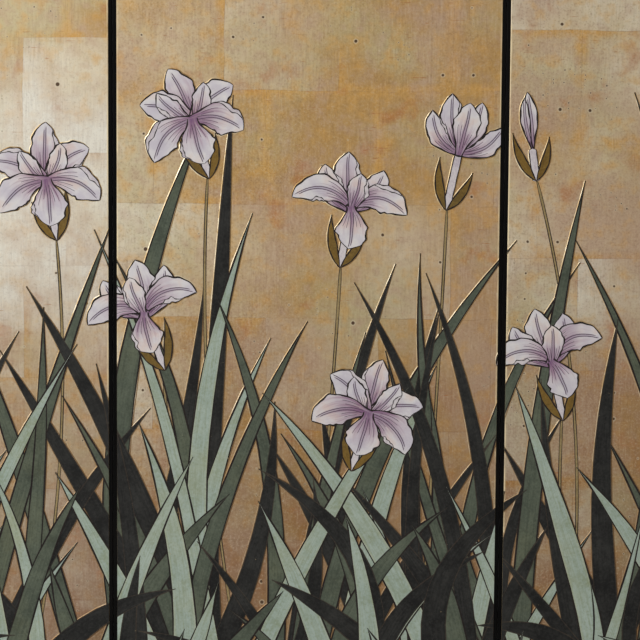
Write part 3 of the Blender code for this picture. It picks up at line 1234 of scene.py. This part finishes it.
TALL_CLUMPS = (
    Clump(-560, 34, 10, 28, 736),
    Clump(-440, 40, 14, 31, 856),
    Clump(-282, 32, 10, 30, 696),
    Clump(-150, 38, 11, 27, 786),
    Clump(-40, 34, 14, 31, 916),
    Clump(112, 38, 11, 27, 736),
    Clump(214, 32, 10, 28, 816),
    Clump(330, 38, 13, 31, 776),
    Clump(500, 34, 15, 31, 896),
    Clump(640, 38, 10, 27, 736),
    Clump(752, 34, 14, 30, 856),
    Clump(920, 36, 13, 30, 786),
    Clump(1010, 34, 9, 26, 696),
)

# Short blades that arch out in front of the tall ones
LOW_CLUMPS = (
    Clump(-520, 110, 7, 58, 350, 1.2, 0.3),
    Clump(-362, 98, 8, 60, 360, 1.2, 0.3),
    Clump(-196, 104, 7, 60, 340, 1.2, 0.3),
    Clump(40, 96, 9, 60, 360, 1.2, 0.3),
    Clump(176, 106, 6, 56, 330, 1.2, 0.3),
    Clump(396, 100, 8, 60, 360, 1.2, 0.3),
    Clump(590, 104, 7, 58, 340, 1.2, 0.3),
    Clump(824, 98, 9, 60, 360, 1.2, 0.3),
    Clump(980, 106, 6, 56, 330, 1.2, 0.3),
)

FLOWERS = (
    Flower(View.OPEN, -120, 806, (-70, 240), -16),
    Flower(View.SIDE, 44, 716, (0, 240), 10),
    Flower(View.SIDE, -170, 604, (-110, 230), -20, mirrored=True),
    Flower(View.OPEN, 64, 500, (40, 210), 16, mirrored=True),
    Flower(View.CUP, 156, 776, (120, 240), 12),
    Flower(View.OPEN, -272, 742, (-290, 230), -10, mirrored=True),
    Flower(View.SIDE, -430, 830, (-450, 230), 8),
    Flower(View.OPEN, -540, 676, (-490, 230), -14),
    Flower(View.SIDE, -386, 588, (-430, 220), 14, mirrored=True),
    Flower(View.BUD, -352, 866, (-410, 230), 10),
    Flower(View.SIDE, 256, 556, (284, 220), -12),
    Flower(View.BUD, 232, 780, (276, 230), -8),
    Flower(View.OPEN, 404, 836, (470, 230), -12, mirrored=True),
    Flower(View.CUP, 552, 760, (520, 220), 12),
    Flower(View.OPEN, 420, 600, (470, 220), -14),
    Flower(View.SIDE, 676, 796, (706, 220), -14),
    Flower(View.OPEN, 806, 690, (740, 220), 14),
    Flower(View.OPEN, 916, 812, (912, 230), 6, mirrored=True),
    Flower(View.SIDE, 968, 602, (930, 220), 16, mirrored=True),
    Flower(View.BUD, 770, 890, (740, 230), 6),
)


@dataclass
class PanelFront:
    """The gilded front of one panel, as if it lay in line with the others, and how the panel is folded."""

    index: int  # from the left
    middle: float  # world x
    plane: float  # world y of the leaf
    half: float  # half the width that relief may cover
    bottom: float
    top: float
    fold: float = 0.0  # in radians
    pivot: Triple = (0.0, 0.0, 0.0)  # a point of the seam that it folds on

    @property
    def turn(self) -> Matrix:
        """How the front lies in the room, from where it would lie in line with the others."""
        there = Matrix.Translation(Vector(self.pivot))
        return there @ Matrix.Rotation(self.fold, 4, "Z") @ there.inverted()

    @property
    def body(self) -> str:
        """The CAD body that the front belongs to."""
        return f"panel_{self.index}"

    def trim(self, mesh: Mesh) -> None:
        """Cuts relief off at the edges of the front, and closes the cuts.

        Args:
            mesh: The relief, where it would lie in line with the other fronts.
        """
        bm = bmesh.new()
        bm.from_mesh(mesh)
        for point, normal in (
            ((self.middle - self.half, 0, 0), (-1, 0, 0)),
            ((self.middle + self.half, 0, 0), (1, 0, 0)),
            ((0, 0, self.bottom), (0, 0, -1)),
            ((0, 0, self.top), (0, 0, 1)),
        ):
            plane = {"plane_co": point, "plane_no": normal, "clear_outer": True}
            cut = bmesh.ops.bisect_plane(bm, geom=bm.verts[:] + bm.edges[:] + bm.faces[:], **plane)
            rim = [e for e in cut["geom_cut"] if isinstance(e, bmesh.types.BMEdge)]
            if rim:
                bmesh.ops.holes_fill(bm, edges=rim)
        bmesh.ops.recalc_face_normals(bm, faces=bm.faces[:])
        bm.to_mesh(mesh)
        bm.free()

    def carve(self, name: str, sheet: Sheet, finishes: list[Material], origin: float) -> Object | None:
        """Makes a piece of relief.

        Args:
            name: What the piece is.
            sheet: The strokes, in millimetres of the unfolded picture.
            finishes: The materials by slot.
            origin: World x of the picture's middle.

        Returns:
            The piece, or None if nothing of it lies on this front.
        """
        if not sheet.points:
            return None
        points = [(origin + x * MM, self.plane - proud * MM, z * MM) for x, z, proud in sheet.points]
        mesh = bpy.data.meshes.new(f"{self.body}_{name}")
        mesh.from_pydata(points, [], sheet.faces)
        for material in finishes:
            mesh.materials.append(material)
        mesh.polygons.foreach_set("material_index", sheet.slots)
        drawn = mesh.attributes.new("drawn", "FLOAT_COLOR", "POINT")
        drawn.data.foreach_set("color", np.array(sheet.drawn, dtype=np.float32).ravel())
        self.trim(mesh)
        if not mesh.polygons:
            return None
        mesh.transform(self.turn)
        mesh.set_sharp_from_angle(angle=CREASE)
        piece = put(mesh.name, mesh)
        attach(piece, self.body)
        return piece


@dataclass
class Picture:
    """Flowers and blades in cut relief, running across all the fronts."""

    fronts: list[PanelFront]
    origin: float  # world x of the middle of panel 2
    seed: int = 2417
    behind: float = 0.72  # share of the blades that stand behind the flowers
    strokes: list[Stroke] = field(default_factory=list)

    def draw(self) -> None:
        """Sets out the strokes, rearmost first."""
        rng = random.Random(self.seed)
        blades = []
        for clump in TALL_CLUMPS + LOW_CLUMPS:
            blades.extend(clump.blades(rng))
        blades.sort(key=lambda pair: pair[0])
        rear = int(len(blades) * self.behind)
        stalks = [flower.stalk(rng) for flower in FLOWERS]
        self.strokes.extend(stalk[0] for stalk in stalks)
        self.strokes.extend(stroke for _, stroke in blades[:rear])
        for stalk in stalks:
            self.strokes.extend(stalk[1:])
        for flower in FLOWERS:
            self.strokes.extend(flower.head(rng))
        self.strokes.extend(stroke for _, stroke in blades[rear:])

    def stack(self) -> float:
        """Gives each stroke a level above whatever it lies over.

        Returns:
            The height of one level, in millimetres.
        """
        free = [stroke for stroke in self.strokes if stroke.host is None]
        prints = [stroke.footprint() for stroke in free]
        lows = np.array([(c - r[:, None]).min(0) for c, r in prints])
        highs = np.array([(c + r[:, None]).max(0) for c, r in prints])
        for i, stroke in enumerate(free):
            near = np.all((lows[:i] < highs[i]) & (highs[:i] > lows[i]), axis=1)
            for j in np.flatnonzero(near):
                if free[j].level < stroke.level:
                    continue
                apart = np.linalg.norm(prints[i][0][:, None] - prints[j][0][None], axis=2)
                if (apart < prints[i][1][:, None] + prints[j][1][None]).any():
                    stroke.level = free[j].level + 1
        for stroke in self.strokes:
            if stroke.host is not None:
                stroke.level = stroke.host.level
        highest = max(stroke.level for stroke in free)
        log.info("picture: %d strokes on %d levels", len(self.strokes), highest + 1)
        return PAINT_ROOM / highest

    def found_on(self, front: PanelFront) -> list[Stroke]:
        """Picks the strokes that may reach onto a front.

        Args:
            front: The front.

        Returns:
            The strokes, rearmost first.
        """
        low = (front.middle - front.half - self.origin) / MM
        high = (front.middle + front.half - self.origin) / MM
        found = []
        for stroke in self.strokes:
            centres, radii = stroke.footprint()
            if (centres[:, 0] + radii).max() > low and (centres[:, 0] - radii).min() < high:
                found.append(stroke)
        return found

    def build(
        self, paints: dict[Tone, Material], inks: dict[Tone, Material], lips: list[Material]
    ) -> list[Object]:
        """Makes the relief on every front.

        Args:
            paints: The fill of each tone.
            inks: The outlines of each tone.
            lips: The lips' leaf, painted lit and painted in shade.

        Returns:
            The pieces.
        """
        self.draw()
        step = self.stack()
        pieces = []
        for front in self.fronts:
            here = self.found_on(front)
            for tone in Tone:
                sheet = Sheet()
                for stroke in here:
                    if stroke.tone is tone:
                        stroke.lay(sheet, step)
                pieces.append(front.carve(tone.value, sheet, [paints[tone], inks[tone]], self.origin))
            sheet = Sheet()
            for stroke in here:
                if stroke.host is None and stroke.tone is not Tone.STEM:
                    stroke.lay_lips(sheet)
            pieces.append(front.carve("gilded_lips", sheet, lips, self.origin))
        return [piece for piece in pieces if piece]


@dataclass
class LeafScrews:
    """Three flush slotted screws that hold one hinge leaf in its bed."""

    leaf: str
    body: str
    axis: Vector  # a point of the hinge's axis
    side: int  # of the seam, -1 or 1
    turn: Matrix  # of the panel in the room
    plate: float = 14 * MM
    gap: float = 0.8 * MM  # between the two leaves of a hinge
    radius: float = 2.3 * MM
    proud: float = 0.06 * MM
    sunk: float = 0.5 * MM
    slot: float = 0.7 * MM
    spacing: float = 19 * MM
    slots_at: Triple = (-17, 20, 57)  # degrees that the three were left at
    segments: int = 28

    def outline(self, keep: int) -> list[Pair]:
        """The rim of the head, or of the half of it on one side of the slot.

        Args:
            keep: -1 or 1 for a half, 0 for the whole.

        Returns:
            Its points, in order.
        """
        if keep == 0:
            angles = [2 * math.pi * i / self.segments for i in range(self.segments)]
        else:
            start = math.asin(self.slot / 2 / self.radius)
            steps = self.segments // 2
            angles = [start + (math.pi - 2 * start) * i / steps for i in range(steps + 1)]
            angles = angles if keep > 0 else [-a for a in reversed(angles)]
        return [(self.radius * math.cos(a), self.radius * math.sin(a)) for a in angles]

    def plug(self, bm: bmesh.types.BMesh, place: Matrix, keep: int, low: float, high: float) -> None:
        """Adds a flat closed plug.

        Args:
            bm: The mesh.
            place: Where, with +Z out of the leaf.
            keep: Which part of the head.
            low: Its bottom.
            high: Its top.
        """
        rim = self.outline(keep)
        lower = [bm.verts.new(place @ Vector((x, y, low))) for x, y in rim]
        upper = [bm.verts.new(place @ Vector((x, y, high))) for x, y in rim]
        bm.faces.new(list(reversed(lower)))
        bm.faces.new(upper)
        for i in range(len(rim)):
            k = (i + 1) % len(rim)
            bm.faces.new((lower[i], lower[k], upper[k], upper[i]))

    def build(self, material: Material) -> Object:
        """Makes the screws.

        Args:
            material: Their finish.

        Returns:
            The piece.
        """
        flat = self.turn.inverted()
        points = [flat @ vertex.co for vertex in frame["nodes"][self.leaf].data.vertices]
        low = min(point.y for point in points)
        high = max(point.y for point in points)
        level = sum((min(p.z for p in points), max(p.z for p in points))) / 2
        # The barrel is at one end of the leaf, and the screws are in the middle of its plate.
        depth = high - self.plate / 2 if high - self.axis.y > self.axis.y - low else low + self.plate / 2
        facing = Vector((-self.side, 0, 0)).to_track_quat("Z", "Y").to_matrix().to_4x4()
        bm = bmesh.new()
        for step, angle in zip((-1, 0, 1), self.slots_at):
            spot = Vector((self.axis.x + self.side * self.gap / 2, depth, level + step * self.spacing))
            lie = Matrix.Rotation(math.radians(angle), 4, "Z")
            place = Matrix.Translation(spot) @ facing @ lie
            self.plug(bm, place, 0, -self.sunk, -self.proud)
            # The two halves of the head reach a little into its base.
            for keep in (1, -1):
                self.plug(bm, place, keep, -1.5 * self.proud, self.proud)
        mesh = bpy.data.meshes.new(f"{self.leaf}_screws")
        bm.to_mesh(mesh)
        bm.free()
        mesh.transform(self.turn)
        mesh.materials.append(material)
        piece = put(mesh.name, mesh)
        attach(piece, self.body)
        return piece


@dataclass
class Frames:
    """The CAD pieces, which keep their own shapes and get their finishes here."""

    lacquer: Material
    back: Material
    cedar: Material
    brass: Material
    gold: dict[int, Material]

    def finish(self, name: str) -> Material:
        """Picks the finish of a piece.

        Args:
            name: The piece's node.

        Returns:
            The material.
        """
        if name.endswith("gilded_face"):
            return self.gold[int(name.split("_")[1])]
        if name.endswith("core_board"):
            return self.cedar
        if name.endswith("back_face"):
            return self.back
        return self.brass if "hinge" in name else self.lacquer

    def dress(self) -> list[Object]:
        """Gives every CAD piece its finish.

        Returns:
            The pieces.
        """
        for name, node in frame["nodes"].items():
            node.data.materials.clear()
            node.data.materials.append(self.finish(name))
        return list(frame["nodes"].values())


@dataclass(frozen=True)
class SoftLight:
    """A square soft light, placed and aimed from the foot of panel 2's front, with its power in watts."""

    name: str
    place: Triple
    aim: Triple
    side: float
    power: float


@dataclass(frozen=True)
class Viewpoint:
    """The camera, placed from the foot of panel 2's front by where the two seams lie in the photo.

    Angles are in degrees, and the lens and its sensor in millimetres.
    """

    aside: float = 1.9 * MM
    away: float = 2.4
    height: float = 841.3 * MM
    yaw: float = 0.265
    pitch: float = -5.74
    roll: float = 0.416
    lens: float = 129.9
    sensor: float = 36.0


@dataclass
class Studio:
    """Pale floor, soft light from the upper left, and the camera square to panel 2."""

    middle: float
    plane: float
    reach: float = 30.0
    paving: str = "#ECEAE6"
    paving_rough: float = 0.8
    air: tuple[float, ...] = (1.0, 0.985, 0.96, 1.0)  # linear
    daylight: float = 0.52
    lights: tuple[SoftLight, ...] = (
        SoftLight("key", (-1.8, -2.1, 1.7), (-0.1, 0.0, 0.7), 1.7, 52),
        SoftLight("fill", (2.2, -2.6, 1.6), (0.1, 0.0, 0.6), 2.2, 8),
    )
    view: Viewpoint = Viewpoint()

    def build(self) -> None:
        """Sets the room up."""
        self.floor()
        self.sky()
        for light in self.lights:
            self.lamp(light)
        self.camera()

    def floor(self) -> None:
        """Lays a wide pale floor."""
        mesh = bpy.data.meshes.new("floor")
        corners = [(x * self.reach, y * self.reach, 0) for x, y in ((-1, -1), (1, -1), (1, 1), (-1, 1))]
        mesh.from_pydata(corners, [], [(0, 1, 2, 3)])
        paint = {"Base Color": linear(self.paving), "Roughness": self.paving_rough}
        mesh.materials.append(Graph("studio_floor").dress(paint))
        floor = put("floor", mesh)

    def sky(self) -> None:
        """Fills the room with even pale light."""
        world = bpy.data.worlds.new("studio")
        world.use_nodes = True
        light = world.node_tree.nodes["Background"]
        light.inputs["Color"].default_value = self.air
        light.inputs["Strength"].default_value = self.daylight
        bpy.context.scene.world = world

    def lamp(self, light: SoftLight) -> None:
        """Hangs a light.

        Args:
            light: Which one.
        """
        data = bpy.data.lights.new(light.name, "AREA")
        data.size = light.side
        data.energy = light.power
        foot = Vector((self.middle, self.plane, 0))
        start = foot + Vector(light.place)
        target = foot + Vector(light.aim)
        lamp = put(light.name, data)
        lamp.location = start
        lamp.rotation_euler = (target - start).to_track_quat("-Z", "Y").to_euler()

    def camera(self) -> None:
        """Sets up the camera of the photo."""
        data = bpy.data.cameras.new("camera")
        data.lens = self.view.lens
        data.sensor_width = self.view.sensor
        camera = put("camera", data)
        camera.location = (self.middle + self.view.aside, self.plane - self.view.away, self.view.height)
        tilt = math.pi / 2 + math.radians(self.view.pitch)
        level = Euler((tilt, 0, -math.radians(self.view.yaw)), "XYZ").to_matrix()
        roll = Matrix.Rotation(math.radians(self.view.roll), 3, "Z")
        camera.rotation_euler = (level @ roll).to_euler()
        bpy.context.scene.camera = camera


def panel_fronts() -> list[PanelFront]:
    """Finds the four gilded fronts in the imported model.

    Returns:
        The fronts, left to right, laid out in one line where the screen isn't folded.
    """
    low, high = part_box("panel_2_gilded_face")
    middle = (low.x + high.x) / 2
    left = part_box("panel_1_gilded_face")
    stride = middle - (left[0].x + left[1].x) / 2
    half = (high.x - low.x) / 2 - EDGE_MARGIN * MM
    bottom = low.z + EDGE_MARGIN * MM
    top = high.z - EDGE_MARGIN * MM
    fronts = []
    for index in (1, 2, 3, 4):
        fronts.append(PanelFront(index, middle + (index - 2) * stride, low.y, half, bottom, top))
    seam = next(joint for joint in frame["joints"] if joint["child"] == "panel_4")
    fronts[3].fold = math.radians(-seam["range_deg"][0]) * seam["axis"][2]
    fronts[3].pivot = tuple(seam["pos_m"])
    return fronts


def hinge_screws(fronts: list[PanelFront]) -> list[LeafScrews]:
    """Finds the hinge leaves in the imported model.

    Args:
        fronts: The panels' fronts, left to right.

    Returns:
        The screws of each leaf.
    """
    found = []
    for joint in frame["joints"]:
        seam = int(joint["name"].split("_")[1])
        for level in ("lower", "middle", "upper"):
            for side, word in ((-1, "left"), (1, "right")):
                front = fronts[seam - 1 if side < 0 else seam]
                leaf = f"seam_{seam}_{level}_hinge_{word}_leaf"
                found.append(LeafScrews(leaf, front.body, Vector(joint["pos_m"]), side, front.turn))
    return found


def main() -> None:
    """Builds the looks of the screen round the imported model."""
    logging.basicConfig(level=logging.INFO, format="%(name)s: %(message)s")
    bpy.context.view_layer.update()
    # Colours are shown as they are written.
    bpy.context.scene.view_settings.view_transform = "Standard"
    fronts = panel_fronts()
    origin = fronts[1].middle
    gold = {front.index: LeafGold(PANEL_SILVER_AND_SHEEN[front.index]).build(front) for front in fronts}
    brass = Brass().build()
    pieces = [screws.build(brass) for screws in hinge_screws(fronts)]
    lacquer = Lacquer("black_lacquer").build()
    pieces += Frames(lacquer, BACK_LACQUER.build(), Cedar().build(), brass, gold).dress()
    paints = {tone: paint.build() for tone, paint in PAINTS.items()}
    inks = dict.fromkeys(Tone, INK.build())
    inks[Tone.CHARCOAL] = RUBBED_CUT.build()
    lips = [lip.build() for lip in LIPS]
    pieces += Picture(fronts, origin).build(paints, inks, lips)
    Studio(origin, fronts[1].plane).build()
    for piece in pieces:
        finishes = ", ".join(material.name for material in piece.data.materials)
        log.info("%s: %d faces, %s", piece.name, len(piece.data.polygons), finishes)


if __name__ == "__main__":
    main()
